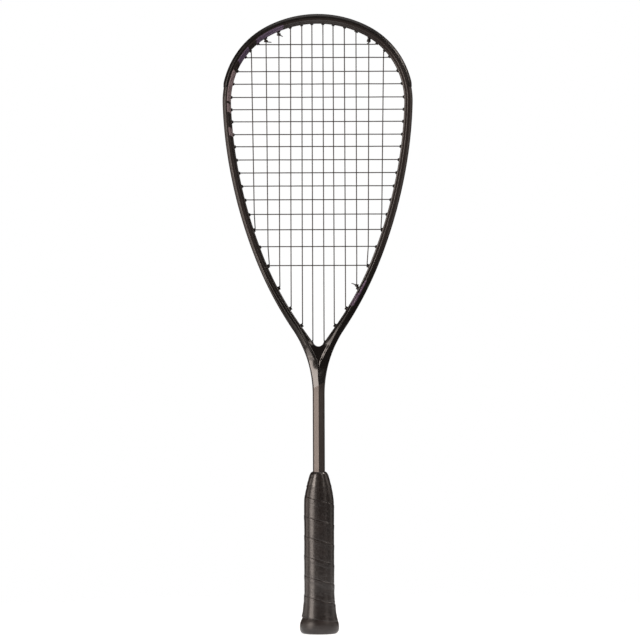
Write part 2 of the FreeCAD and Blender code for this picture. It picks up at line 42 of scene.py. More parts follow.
# ---- Dimensions, in millimetres ---------------------------
# The outline is a chain of tangent arcs from the crown: turn in degrees, radius
BUMPER_THICKNESS = 1.1
CROWN_Z = 686.0 - BUMPER_THICKNESS
OUTLINE_ARCS = [(27.7, 121.6), (32.6, 90.0), (31.4, 94.0), (6.8, 473.7),
                (13.4, 533.5), (12.0, 400.0), (-33.9, -128.0)]
OUTLINE_LENGTHS = [abs(math.radians(turn) * radius) for turn, radius in OUTLINE_ARCS]
OUTLINE_END = sum(OUTLINE_LENGTHS)
GROOVE_DEPTH, GROOVE_HALF = 1.8, 2.7
FLOOR = GROOVE_DEPTH - 0.05           # the guard and strips stand just off the groove's floor
GROOVE_END_Z = 315.5
BASE_THICKNESS = 0.55

# Section by outline height: ridge depth, crest depth, and half heights at the ridge, the crest
# and the inner edge
SECTIONS = [(410.0, 2.9, 5.9, 9.5, 9.5, 4.8), (395.0, 3.1, 6.1, 9.5, 9.5, 4.8),
            (380.0, 3.5, 6.4, 9.5, 9.4, 4.9), (365.0, 4.1, 6.9, 9.5, 9.2, 5.0),
            (350.0, 4.7, 7.4, 9.6, 8.9, 5.2), (336.5, 5.2, 7.9, 9.6, 8.6, 5.4),
            (324.0, 5.5, 8.3, 9.6, 8.0, 6.0), (311.5, 6.3, 9.1, 9.6, 7.8, 7.5),
            (306.0, 8.0, 10.2, 9.6, 8.0, 7.7), (301.0, 9.3, 10.6, 9.6, 8.5, 8.3),
            (296.5, 9.6, 9.95, 9.5, 9.3, 9.3), (290.0, 8.3, 8.65, 9.5, 9.45, 9.45),
            (282.0, 7.2, 7.55, 9.4, 9.4, 9.4), (266.0, 6.6, 6.95, 9.1, 9.22, 9.35)]
WIDTHS = [(410.0, 9.2), (380.0, 9.4), (350.0, 9.8), (336.5, 10.1), (318.0, 10.9)]
CROTCH_Z, CROTCH_R = 323.9, 5.8       # centre height and radius of the arc under the head
CROTCH_OUTER_Z = 311.5
CROTCH_START_Z = 319.0
CROTCH_TOUCH = math.radians(35.2)     # where the inner edges meet that arc
STRAIGHT_TOP_Z = 336.5                # the inner edge runs straight from here to the arc
MERGE_Z = 306.0                       # the two legs are one below this
FORK_TOP_Z = 345.0
SHAFT_TOP_Z, SHAFT_LOW_Z = 262.0, 168.0
GROOVE_FLOOR_Z, GROOVE_FADE = 312.5, 9.0
EDGE_R = 1.1                          # rounding of the inner edges
# Half height of the outer wall, then depth and half height of the bevel beside it
HOOP_OUTER, SHAFT_OUTER = (5.2, 1.2, 7.6), (4.4, 1.0, 6.7)

# ---- Strings ---------------------------------------------
STRING_D = 1.2
WEAVE, WEAVE_RADIUS, RUN_SHARE = 0.68, 8.0, 0.45
TIP_RADIUS, EXIT_RADIUS = 2.0, 1.0
LANE, PAIR_OFFSET = 1.3, 0.65
LOOP_LEAD, LOOP_STEP = 3.0, 8.0
MAIN_TOP_X = [6.1, 17.3, 29.8, 42.7, 56.9, 73.3]
MAIN_BOTTOM_X = [6.2, 17.6, 30.1, 42.7, 55.4, 69.8]
CROSS_Z = [652.5, 638.0, 622.6, 608.7, 594.1, 580.5, 567.1, 552.9, 539.5,
           524.8, 510.4, 495.8, 480.6, 464.5, 447.4, 428.7, 407.7]
SHARED_ENDS = {14: 5, 16: 4}
KNOT_DROP, KNOT_R = 2.2, 1.28
TAIL_LENGTH = 4.5
MAIN_TAILS = {1: (-1.0, -0.3, -0.7), -1: (1.0, -0.3, -0.15)}     # ways of the cut tails, by side
FIRST_CROSS_TAIL, LAST_CROSS_TAIL = (0.6, -0.8, -0.4), (-1.0, -0.3, 0.35)
BARREL_R, BARREL_BORE_R = 1.5, 0.75
WIDE_BARREL_R, WIDE_BORE_R = 1.95, 1.3
HEAD_PROUD, LEG_PROUD, LEG_TOP_Z = 1.5, 2.3, 405.0
LEG_LEAN = 0.75
BUMPER_END_S, STRIP_GAP = 142.5, 0.5

# ---- Handle ----------------------------------------------
GRIP_X, GRIP_Y = 16.5, 14.0
CORNER_X, CORNER_Y = 9.5, 8.0
SEAM_PITCH = 22.0
SEAM_Z = 10.6                         # a seam's height at the +X side, and every pitch above it
GRIP_LOW_Z, GRIP_TOP_Z = 14.2, 166.0
FILM_LOW_Z, FILM_TOP_Z, FILM_PITCH = 162.6, 179.2, 5.2


# ---- The outline -----------------------------------------
def outline_at(s):
    """Position and heading on the outer outline, s from the crown, negative to the left."""
    remaining = abs(s)
    x, z, heading = 0.0, CROWN_Z, 0.0
    for (turn, radius), length in zip(OUTLINE_ARCS, OUTLINE_LENGTHS):
        step = min(remaining, length)
        swing = math.radians(turn) * step / length
        x += radius * (math.sin(heading + swing) - math.sin(heading))
        z += radius * (math.cos(heading + swing) - math.cos(heading))
        heading += swing
        remaining -= step
    side = -1.0 if s < 0 else 1.0
    return side * x, z - remaining, side * heading


def place(s, depth, y=0.0):
    """Point at a depth in from the outer wall."""
    x, z, heading = outline_at(s)
    return Vector((x - math.sin(heading) * depth, y, z - math.cos(heading) * depth))


def s_where(test, low, high):
    for _ in range(40):
        middle = (low + high) / 2.0
        if test(middle):
            low = middle
        else:
            high = middle
    return low


def s_at_height(z, depth=0.0):
    return s_where(lambda s: place(s, depth).z > z, 0.0, OUTLINE_END + 200.0)


def lerp(a, b, t):
    return a + (b - a) * t


def smooth(t):
    t = min(1.0, max(0.0, t))
    return t * t * (3.0 - 2.0 * t)


def table_at(rows, z, column):
    """Value at height z from rows of falling height, without kinks or overshoot."""
    if z >= rows[0][0]:
        return rows[0][column]
    if z <= rows[-1][0]:
        return rows[-1][column]
    slopes = [(b[column] - a[column]) / (b[0] - a[0]) for a, b in zip(rows, rows[1:])]
    k = next(i for i in range(len(slopes)) if z >= rows[i + 1][0])

    def tangent(i):
        if i == 0 or i == len(slopes) or slopes[i - 1] * slopes[i] <= 0.0:
            return 0.0
        return 2.0 * slopes[i - 1] * slopes[i] / (slopes[i - 1] + slopes[i])

    span = rows[k + 1][0] - rows[k][0]
    t = (z - rows[k][0]) / span
    a, b = rows[k][column], rows[k + 1][column]
    return ((2 * t ** 3 - 3 * t ** 2 + 1) * a + (t ** 3 - 2 * t ** 2 + t) * span * tangent(k)
            + (3 * t ** 2 - 2 * t ** 3) * b + (t ** 3 - t ** 2) * span * tangent(k + 1))


def width_at(s):
    return table_at(WIDTHS, outline_at(s)[1], 1)


# ---- Meshes ----------------------------------------------
def bend(before, corner, after, radius, count=5):
    """A corner rounded by a quadratic curve, as count points."""
    reach_in = min(radius, 0.46 * (before - corner).length)
    reach_out = min(radius, 0.46 * (after - corner).length)
    a = corner + (before - corner).normalized() * reach_in if reach_in > 1e-9 else corner.copy()
    b = corner + (after - corner).normalized() * reach_out if reach_out > 1e-9 else corner.copy()
    points = []
    for i in range(count):
        t = i / (count - 1)
        points.append(a * (1 - t) ** 2 + corner * (2 * t * (1 - t)) + b * t ** 2)
    return points


def in_scene(name, data):
    made = bpy.data.objects.new(name, data)
    bpy.context.scene.collection.objects.link(made)
    return made


def build(name, skin, material, nodes, merge=None):
    """A smooth mesh piece on the body, from a skin in millimetres."""
    mesh = bpy.data.meshes.new(name)
    mesh.from_pydata([tuple(c * MM for c in v) for v in skin.verts], [], skin.faces)
    layer = mesh.uv_layers.new(name="paint")
    for loop in mesh.loops:
        layer.data[loop.index].uv = skin.uvs[loop.vertex_index]
    work = bmesh.new()
    work.from_mesh(mesh)
    if merge is not None:
        bmesh.ops.remove_doubles(work, verts=work.verts, dist=merge * MM)
    bmesh.ops.recalc_face_normals(work, faces=work.faces)
    for face in work.faces:
        face.smooth = True
    work.to_mesh(mesh)
    work.free()
    piece = in_scene(name, mesh)
    mesh.materials.append(material)
    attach(piece, "root")
    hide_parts(*nodes)


class Skin:
    """Collects grids of points into one mesh, with one pair of paint coordinates per point."""

    def __init__(self):
        self.verts = []
        self.faces = []
        self.uvs = []

    def grid(self, rows, uv_rows, around=False):
        first = len(self.verts)
        wide = len(rows[0])
        for row, uv_row in zip(rows, uv_rows):
            self.verts += row
            self.uvs += uv_row
        column_total = wide if around else wide - 1
        for r in range(len(rows) - 1):
            here = first + r * wide
            below = here + wide
            for c in range(column_total):
                d = (c + 1) % wide
                self.faces.append((here + c, here + d, below + d, below + c))
        return first

    def cap(self, start, count):
        """Closes a ring of vertices with a fan round its middle."""
        ring = list(range(start, start + count))
        middle = sum((self.verts[i] for i in ring), Vector()) / count
        self.verts.append(middle)
        self.uvs.append(self.uvs[start])
        hub = len(self.verts) - 1
        for i in range(count):
            self.faces.append((hub, ring[i], ring[(i + 1) % count]))


# ---- Materials -------------------------------------------
class Nodes:
    """A Principled material with short calls for its procedural inputs."""

    def __init__(self, name, colour, roughness, metallic=0.0, coat=0.0, coat_roughness=0.05,
                 specular=0.5):
        self.material = bpy.data.materials.new(name)
        self.material.use_nodes = True
        self.tree = self.material.node_tree
        self.shader = self.tree.nodes["Principled BSDF"]
        self.put("Base Color", (*colour, 1.0))
        self.put("Roughness", roughness)
        self.put("Metallic", metallic)
        self.put("Coat Weight", coat)
        self.put("Coat Roughness", coat_roughness)
        self.put("Specular IOR Level", specular)

    def put(self, socket, value):
        self.shader.inputs[socket].default_value = value

    def node(self, kind, settings=(), **inputs):
        made = self.tree.nodes.new(kind)
        for name, value in settings:
            setattr(made, name, value)
        for key, value in inputs.items():
            self.feed(made.inputs[key.replace("_", " ")], value)
        return made

    def feed(self, socket, value):
        if isinstance(value, bpy.types.NodeSocket):
            self.tree.links.new(value, socket)
        elif isinstance(value, bpy.types.Node):
            self.tree.links.new(value.outputs[0], socket)
        else:
            socket.default_value = value

    def math(self, operation, a, b=0.0):
        made = self.tree.nodes.new("ShaderNodeMath")
        made.operation = operation
        self.feed(made.inputs[0], a)
        self.feed(made.inputs[1], b)
        return made.outputs[0]

    def ramp(self, value, low, high, to_low=0.0, to_high=1.0):
        made = self.tree.nodes.new("ShaderNodeMapRange")
        made.interpolation_type = "SMOOTHSTEP"
        for index, number in enumerate((value, low, high, to_low, to_high)):
            self.feed(made.inputs[index], number)
        return made.outputs[0]

    def mix(self, factor, a, b):
        made = self.tree.nodes.new("ShaderNodeMix")
        made.data_type = "RGBA"
        colours = [socket for socket in made.inputs if socket.type == "RGBA"]
        self.feed(made.inputs[0], factor)
        for socket, value in zip(colours, (a, b)):
            value = (*value, 1.0) if isinstance(value, tuple) else value
            self.feed(socket, value)
        return next(socket for socket in made.outputs if socket.type == "RGBA")

    def place(self, scale=(1.0, 1.0, 1.0), uv=False):
        source = self.node("ShaderNodeUVMap", [("uv_map", "paint")]).outputs[0] if uv else \
            self.node("ShaderNodeTexCoord").outputs["Object"]
        return self.node("ShaderNodeMapping", Vector=source, Scale=scale).outputs[0]

    def axes(self, source):
        return self.node("ShaderNodeSeparateXYZ", Vector=source).outputs

    def speckle(self, vector, scale, detail=3.0, roughness=0.5):
        return self.node("ShaderNodeTexNoise", Vector=vector, Scale=scale, Detail=detail,
                         Roughness=roughness).outputs[0]

    def cells(self, vector, scale):
        return self.node("ShaderNodeTexVoronoi", Vector=vector, Scale=scale).outputs[0]

    def bump(self, height, depth, normal=None):
        made = self.node("ShaderNodeBump", Height=height, Distance=depth, Strength=1.0)
        if normal is not None:
            self.feed(made.inputs["Normal"], normal)
        return made.outputs[0]

    def link(self, value, socket):
        self.feed(self.shader.inputs[socket], value)


def block(nodes, u, low, high, edge=0.00015):
    """1 where low < u < high, with an edge of paint-line softness."""
    rise = nodes.ramp(u, low - edge, low + edge)
    fall = nodes.ramp(u, high - edge, high + edge, 1.0, 0.0)
    return nodes.math("MULTIPLY", rise, fall)


# Colour blocks on the left of the hoop: top and bottom height, colour
PURPLE, MAUVE = (0.18, 0.135, 0.225), (0.42, 0.335, 0.36)
BLOCKS = [(671.0, 655.0, PURPLE), (647.0, 632.0, PURPLE), (622.6, 589.0, MAUVE),
          (586.5, 577.0, MAUVE), (560.0, 551.0, MAUVE)]
BLOCK_DEPTH, BLOCK_SLANT = 7.5, 0.6
# Stripe on the right leg: top, the step where it widens, bottom
STRIPE_TOP_Z, STRIPE_STEP_Z, STRIPE_LOW_Z, STRIPE_DEPTH = 391.0, 377.5, 362.5, 6.0
STRIPE_COLOUR = (0.15, 0.10, 0.17)


def lacquer():
    """Gloss black lacquer; satin charcoal on the head; gunmetal below the slanted line."""
    n = Nodes("frame_lacquer", (0.008, 0.007, 0.0065), 0.3, coat=0.6, coat_roughness=0.06)
    u, v, _ = n.axes(n.place(uv=True))
    x, _, z = n.axes(n.place())
    fine = n.speckle(n.place(), 2600.0, 2.0)
    soft = n.speckle(n.place(), 90.0, 3.0)

    charcoal = n.mix(n.ramp(fine, 0.35, 0.7), (0.026, 0.021, 0.020), (0.040, 0.032, 0.030))
    black = n.mix(soft, (0.0065, 0.0055, 0.005), (0.010, 0.0085, 0.008))
    head = n.ramp(z, 0.36, 0.46)
    colour = n.mix(head, black, charcoal)

    inner = block(n, v, 0.00575, 0.0093)
    for top, bottom, tint in BLOCKS:
        first = -s_at_height(bottom, BLOCK_DEPTH) * MM
        last = -s_at_height(top, BLOCK_DEPTH) * MM
        slanted = n.math("ADD", u, n.math("MULTIPLY", v, BLOCK_SLANT))
        lean = BLOCK_SLANT * BLOCK_DEPTH * MM
        mask = n.math("MULTIPLY", inner, block(n, slanted, first + lean, last + lean))
        colour = n.mix(mask, colour, tint)
    start, middle, end = [s_at_height(z_mm, STRIPE_DEPTH) * MM
                          for z_mm in (STRIPE_TOP_Z, STRIPE_STEP_Z, STRIPE_LOW_Z)]
    narrow = block(n, v, 0.0046, 0.0066)
    wide = block(n, v, 0.0046, 0.0094)
    upper = n.math("MULTIPLY", narrow, block(n, u, start, middle))
    slope = n.math("SUBTRACT", u, n.math("MULTIPLY", v, 0.5))
    lower = n.math("MULTIPLY", wide, block(n, slope, middle - 0.0026, end - 0.0036))
    worn = n.math("MULTIPLY", lower, n.ramp(n.speckle(n.place(), 700.0, 4.0), 0.42, 0.6, 0.45))
    colour = n.mix(n.math("MAXIMUM", upper, worn), colour, STRIPE_COLOUR)

    line = n.math("SUBTRACT", z, n.math("MULTIPLY", x, 0.5))
    metal = n.ramp(line, 0.2748, 0.2752, 1.0, 0.0)
    bronze = n.mix(n.ramp(fine, 0.3, 0.7), (0.064, 0.056, 0.052), (0.090, 0.080, 0.075))
    n.link(n.mix(metal, colour, bronze), "Base Color")
    n.link(n.math("MULTIPLY", metal, 0.75), "Metallic")
    fork = block(n, z, 0.318, 0.356, 0.008)
    gloss = n.math("ADD", n.ramp(head, 0.0, 1.0, 0.16, 0.34), n.math("MULTIPLY", fork, 0.1))
    rough = n.mix(metal, gloss, n.ramp(soft, 0.0, 1.0, 0.33, 0.4))
    n.link(rough, "Roughness")
    thin_coat = n.math("MULTIPLY", fork, 0.75)
    coat = n.math("SUBTRACT", n.ramp(head, 0.0, 1.0, 0.8, 0.25), thin_coat)
    n.link(n.math("SUBTRACT", coat, n.math("MULTIPLY", metal, 0.7)), "Coat Weight")
    n.link(n.bump(n.math("ADD", n.math("MULTIPLY", fine, 0.06), soft), 0.00003), "Normal")
    return n.material


def nylon(name, colour, roughness=0.42):
    n = Nodes(name, colour, roughness, specular=0.5)
    grain = n.speckle(n.place(), 3800.0, 2.0)
    scuff = n.speckle(n.place(), 160.0, 5.0, 0.65)
    worn = n.ramp(scuff, 0.55, 0.75)
    lighter = tuple(min(1.0, c * 2.2) for c in colour)
    n.link(n.mix(n.math("MULTIPLY", worn, 0.6), colour, lighter), "Base Color")
    n.link(n.ramp(scuff, 0.3, 0.7, roughness - 0.08, roughness + 0.12), "Roughness")
    n.link(n.bump(grain, 0.00004), "Normal")
    return n.material


def string_fibre():
    """Twisted multifilament: fine helical strands under a thin clear coat; the grooves between strands
    carry painted shade.
    """
    n = Nodes("string_multifilament", (0.06, 0.055, 0.052), 0.45, coat=0.3, coat_roughness=0.25)
    u, v, _ = n.axes(n.place(uv=True))
    twist = n.math("ADD", n.math("MULTIPLY", u, 5200.0), n.math("MULTIPLY", v, 37.7))
    strand = n.math("SINE", twist)
    mottle = n.speckle(n.place(), 220.0, 2.0)
    base = n.mix(n.ramp(mottle, 0.3, 0.7), (0.040, 0.034, 0.033), (0.115, 0.100, 0.096))
    # Painted shade: the colour darkens into the grooves between the twisted strands, where the bump
    # sinks.
    n.link(n.mix(n.ramp(strand, -1.0, 0.4), (0.022, 0.018, 0.018), base), "Base Color")
    n.link(n.bump(strand, 0.00002), "Normal")
    return n.material


def leather():
    """Smooth synthetic leather tape: fine pores with painted shade in them, creases along the wrap,
    polished high spots.
    """
    n = Nodes("grip_leather", (0.02, 0.015, 0.013), 0.4, coat=0.8, coat_roughness=0.26,
              specular=0.3)
    crease = n.speckle(n.place((60.0, 900.0, 1.0), uv=True), 1.0, 4.0, 0.6)
    pores = n.cells(n.place(), 1500.0)
    patch = n.speckle(n.place(), 55.0, 4.0, 0.6)
    brown = n.mix(n.ramp(patch, 0.3, 0.7), (0.0080, 0.0050, 0.0042), (0.0160, 0.0105, 0.0090))
    # Painted shade: each pore is darker at its middle, where the bump sinks.
    n.link(n.mix(n.ramp(pores, 0.05, 0.35), (0.004, 0.0025, 0.002), brown), "Base Color")
    n.link(n.ramp(crease, 0.3, 0.75, 0.30, 0.44), "Roughness")
    fine = n.bump(pores, 0.00006)
    n.link(n.bump(crease, 0.0006, fine), "Normal")
    return n.material


def tape_film():
    """Stretched glossy vinyl with fine stretch lines round the cone."""
    n = Nodes("finishing_tape", (0.016, 0.012, 0.010), 0.3, coat=0.9, coat_roughness=0.2)
    lines = n.speckle(n.place((12.0, 12.0, 900.0)), 1.0, 3.0)
    dust = n.speckle(n.place(), 320.0, 3.0)
    n.link(n.mix(n.ramp(dust, 0.4, 0.7), (0.013, 0.010, 0.0085), (0.022, 0.0165, 0.014)),
           "Base Color")
    n.link(n.ramp(lines, 0.3, 0.7, 0.3, 0.42), "Roughness")
    n.link(n.bump(lines, 0.0001), "Normal")
    return n.material


def moulded(name, colour, roughness, coat=0.0):
    n = Nodes(name, colour, roughness, coat=coat, coat_roughness=0.2)
    grain = n.cells(n.place(), 1900.0)
    cloud = n.speckle(n.place(), 60.0, 4.0)
    lighter = tuple(c * 1.7 for c in colour)
    n.link(n.mix(n.ramp(cloud, 0.3, 0.7), colour, lighter), "Base Color")
    n.link(n.ramp(cloud, 0.3, 0.7, roughness - 0.05, roughness + 0.08), "Roughness")
    n.link(n.bump(grain, 0.00005), "Normal")
    return n.material


def foam_cells():
    n = Nodes("handle_foam", (0.33, 0.28, 0.2), 0.85)
    bubbles = n.cells(n.place(), 900.0)
    # Painted shade: each bubble is darker at its middle, where the bump sinks.
    n.link(n.mix(n.ramp(bubbles, 0.1, 0.6), (0.2, 0.16, 0.11), (0.38, 0.32, 0.23)), "Base Color")
    n.link(n.bump(bubbles, 0.0003), "Normal")
    return n.material


def wire_steel():
    n = Nodes("staple_steel", (0.6, 0.6, 0.6), 0.35, metallic=1.0)
    drawn = n.speckle(n.place((400.0, 400.0, 4000.0)), 1.0, 2.0)
    n.link(n.ramp(drawn, 0.3, 0.7, 0.25, 0.5), "Roughness")
    n.link(n.bump(drawn, 0.00002), "Normal")
    return n.material


# ---- Frame -----------------------------------------------
def inner_edge(s):
    """Point on the inner edge of the right half, and the way into the solid there."""
    _, z, heading = outline_at(s)
    outward = Vector((math.sin(heading), 0, math.cos(heading)))
    straight_s = s_at_height(STRAIGHT_TOP_Z)
    if s <= straight_s:
        return place(s, width_at(s)), outward
    top = place(straight_s, width_at(straight_s))
    start = Vector((CROTCH_R * math.cos(CROTCH_TOUCH), 0,
                    CROTCH_Z - CROTCH_R * math.sin(CROTCH_TOUCH)))
    down_line = (start - top).normalized()
    line_out = Vector((-down_line.z, 0, down_line.x))
    if z > CROTCH_START_Z:
        t = (STRAIGHT_TOP_Z - z) / (STRAIGHT_TOP_Z - CROTCH_START_Z)
        return top.lerp(start, t), outward.lerp(line_out, min(1.0, 3.0 * t)).normalized()
    if z > CROTCH_OUTER_Z:
        t = (CROTCH_START_Z - z) / (CROTCH_START_Z - CROTCH_OUTER_Z)
        angle = lerp(CROTCH_TOUCH, math.pi / 2.0, t)
        way = Vector((math.cos(angle), 0, -math.sin(angle)))
        return Vector((0, 0, CROTCH_Z)) + way * CROTCH_R, way
    bottom = CROTCH_Z - CROTCH_R
    t = min(1.0, (CROTCH_OUTER_Z - z) / (CROTCH_OUTER_Z - MERGE_Z))
    return Vector((0, 0, lerp(bottom, MERGE_Z, t) if t < 1.0 else z)), Vector((0, 0, -1))


def frame_row(s, open_head):
    """Front quarter of a section: points and paint coordinates from the outer middle inwards."""
    z = outline_at(s)[1]
    a, b, ridge_y, crest_y, inner_y = [table_at(SECTIONS, z, k) for k in range(1, 6)]
    blend = min(1.0, max(0.0, (STRAIGHT_TOP_Z - z) / 40.0))
    outer_y, bevel_in, bevel_y = [lerp(*ends, blend) for ends in zip(HOOP_OUTER, SHAFT_OUTER)]
    groove = GROOVE_DEPTH * smooth((z - GROOVE_FLOOR_Z) / GROOVE_FADE)
    outer = place(s, 0.0)
    edge, into = inner_edge(s)
    inward = (edge - outer).normalized()
    if not open_head and z <= MERGE_Z:
        inward = Vector((-1, 0, 0))
    wide = (edge - outer).length

    def at(depth, y):
        return outer + inward * depth + Vector((0, -y, 0))

    corners = [at(groove, 0.0), at(groove, GROOVE_HALF - 0.05), at(0.0, GROOVE_HALF + 0.2),
               at(0.0, outer_y), at(bevel_in, bevel_y), at(min(a, wide), ridge_y),
               at(min(b, wide), crest_y)]
    lip = edge + into * EDGE_R + Vector((0, -inner_y, 0))
    if not open_head and z < CROTCH_OUTER_Z - 0.01:
        fade = smooth((CROTCH_OUTER_Z - z) / 4.0)
        lip = Vector((0, -inner_y, lerp(edge.z - EDGE_R, edge.z, fade)))
    depths = [groove, groove, 0.0, 0.0, bevel_in, a, b]
    radii = [0, 0.35, 0.25, 0.9, 0.9, 0.55, 0.8]
    if z < 300.0:
        radii[5:7] = [lerp(0.55, 0.3, smooth((300.0 - z) / 8.0)), 0.3]
    chain = corners + [lip]
    points = [corners[0]]
    paint = [groove]
    for k in range(1, 7):
        rounded = bend(chain[k - 1], chain[k], chain[k + 1], radii[k])
        points += rounded
        paint += [depths[k]] * len(rounded)
        if k in (5, 4):
            points.append(rounded[-1].lerp(chain[k + 1], 0.4))
            paint.append(lerp(depths[k], depths[k + 1], 0.4))
    for share, t in ((0.45, 0.33), (0.6, 0.66)):
        points.append(points[-1].lerp(lip, share))
        paint.append(lerp(b, wide, t))
    points.append(lip)
    paint.append(max(b, wide - EDGE_R))
    count = len(points)
    if open_head:
        corner = edge + Vector((0, -inner_y, 0))
        wall = edge + Vector((0, -(inner_y - EDGE_R), 0))
        for i in range(1, 5):
            t = i / 4
            points.append(lip * (1 - t) ** 2 + corner * (2 * t * (1 - t)) + wall * t ** 2)
            paint.append(wide)
        for t in (0.35, 0.7, 1.0):
            points.append(wall.lerp(edge, t))
            paint.append(wide)
    return points, [(s * MM, d * MM) for d in paint], count


def make_frame():
    """The moulding from the crown to inside the handle: one quarter, mirrored to four."""
    crotch_s = s_at_height(CROTCH_OUTER_Z)
    fork_s = s_at_height(FORK_TOP_Z)
    stops = [fork_s * k / 170 for k in range(171)]
    stops += [lerp(fork_s, crotch_s, k / 36) for k in range(1, 37)]
    shaft_s = s_at_height(SHAFT_TOP_Z)
    lower = [lerp(crotch_s, shaft_s, k / 48) for k in range(49)]
    lower += [lerp(shaft_s, s_at_height(SHAFT_LOW_Z), k / 12) for k in range(1, 13)]

    upper = [frame_row(s, True) for s in stops]
    count = upper[0][2]
    under = [frame_row(s, False) for s in lower]
    under[0] = tuple(part[:count] for part in upper[-1][:2]) + (count,)

    skin = Skin()
    for x_side in (1, -1):
        for y_side in (1, -1):
            for rows in (upper, under):
                first = len(skin.verts)
                wide = len(rows[0][0])
                for points, paint, _ in rows:
                    skin.verts += [Vector((p.x * x_side, p.y * y_side, p.z)) for p in points]
                    skin.uvs += [(u * x_side, v) for u, v in paint]
                for r in range(len(rows) - 1):
                    for c in range(wide - 1):
                        i = first + r * wide + c
                        quad = (i, i + 1, i + 1 + wide, i + wide)
                        skin.faces.append(quad if x_side * y_side > 0 else quad[::-1])
    build("frame_shell", skin, lacquer(), ["frame"], merge=0.002)


# ---- String holes ----------------------------------------
class Hole:
    """A string hole at a distance s along the outline; a wide one takes two strings."""

    def __init__(self, s, wide=False):
        self.s = s
        self.wide = wide
        self.on_leg = outline_at(s)[1] < LEG_TOP_Z
        self.wall = width_at(s)
        self.depth = self.wall + (LEG_PROUD if self.on_leg else HEAD_PROUD)
        self.radius = WIDE_BARREL_R if wide or self.on_leg else BARREL_R
        self.bore = WIDE_BORE_R if wide or self.on_leg else BARREL_BORE_R

    def tip(self, y=0.0):
        return place(self.s, self.depth, y)

    def main_tip(self, y=0.0):
        """Where a main leaves the barrel: its pull holds it to the upper side of a leg's bore."""
        if not self.on_leg:
            return self.tip(y)
        heading = abs(outline_at(self.s)[2])
        side = -1.0 if self.s < 0 else 1.0
        lean = LEG_LEAN / 2.0 if self.wide else LEG_LEAN
        return self.tip(y) + Vector((-side * math.cos(heading), 0, math.sin(heading))) * lean

    def exit(self, y=0.0):
        return place(self.s, string_depth(), y)


def string_depth():
    return GROOVE_DEPTH - BASE_THICKNESS - STRING_D / 2.0 - 0.05


def tip_at(s):
    return Hole(s).tip()


def cross_s(index):
    return s_where(lambda s: tip_at(s).z > CROSS_Z[index], 20.0, 400.0)


def main_holes():
    pairs = []
    for index, top_x in enumerate(MAIN_TOP_X):
        bottom_x = MAIN_BOTTOM_X[index]
        top = s_where(lambda s: tip_at(s).x < top_x, 0.0, 110.0)
        bottom = s_where(lambda s: Hole(s).main_tip().x > bottom_x,
                         250.0, s_at_height(GROOVE_END_Z))
        for cross, main in SHARED_ENDS.items():
            if main == index:
                bottom = cross_s(cross)
        tied_bottom = index == 3 or index in SHARED_ENDS.values()
        pairs.append((Hole(top, index in (3, 4)), Hole(bottom, tied_bottom)))
    return pairs


def cross_holes(mains):
    return [mains[SHARED_ENDS[k]][1] if k in SHARED_ENDS else Hole(cross_s(k))
            for k in range(len(CROSS_Z))]


def left(hole):
    return Hole(-hole.s, hole.wide)


# ---- Strings: the routes ---------------------------------
def main_x(index, z):
    part = (CROSS_Z[0] - z) / (CROSS_Z[0] - CROSS_Z[-1])
    return MAIN_TOP_X[index] + part * (MAIN_BOTTOM_X[index] - MAIN_TOP_X[index])


def crosses_main(cross, main, mains, crosses):
    inside_x = main_x(main, CROSS_Z[cross]) < tip_at(crosses[cross].s).x - 1.5
    top, bottom = mains[main]
    return inside_x and bottom.tip().z + 1.5 < CROSS_Z[cross] < top.tip().z - 1.5


def weave_y(column, cross):
    return WEAVE if (column + cross) % 2 else -WEAVE


def main_stretch(side, index, mains, crosses):
    top, bottom = mains[index]
    if side < 0:
        top, bottom = left(top), left(bottom)
    column = index if side > 0 else -index - 1
    top_y = PAIR_OFFSET if top.wide else 0.0
    bottom_y = PAIR_OFFSET if bottom.wide else 0.0
    route = [(top.exit(top_y), EXIT_RADIUS), (top.tip(top_y), TIP_RADIUS)]
    for cross, z in enumerate(CROSS_Z):
        if crosses_main(cross, index, mains, crosses):
            crossing = Vector((side * main_x(index, z), weave_y(column, cross), z))
            route.append((crossing, WEAVE_RADIUS))
    return route + [(bottom.main_tip(bottom_y), TIP_RADIUS), (bottom.exit(bottom_y), EXIT_RADIUS)]


def cross_stretch(index, mains, crosses):
    right = crosses[index]
    other = left(right)
    end_y = -PAIR_OFFSET if right.wide else 0.0
    z = CROSS_Z[index]
    route = [(other.exit(end_y), EXIT_RADIUS), (other.tip(end_y), TIP_RADIUS)]
    for column in range(-len(MAIN_TOP_X), len(MAIN_TOP_X)):
        main = column if column >= 0 else -column - 1
        if crosses_main(index, main, mains, crosses):
            x = main_x(main, z) if column >= 0 else -main_x(main, z)
            route.append((Vector((x, -weave_y(column, index), z)), WEAVE_RADIUS))
    return route + [(right.tip(end_y), TIP_RADIUS), (right.exit(end_y), EXIT_RADIUS)]


def loop(start, end, lane):
    direction = 1.0 if end > start else -1.0
    first = start + direction * LOOP_LEAD
    last = end - direction * LOOP_LEAD
    count = max(1, math.ceil(abs(last - first) / LOOP_STEP))
    stops = [first + (last - first) * k / count for k in range(count + 1)]
    return [(place(s, string_depth(), lane), 100.0) for s in stops]


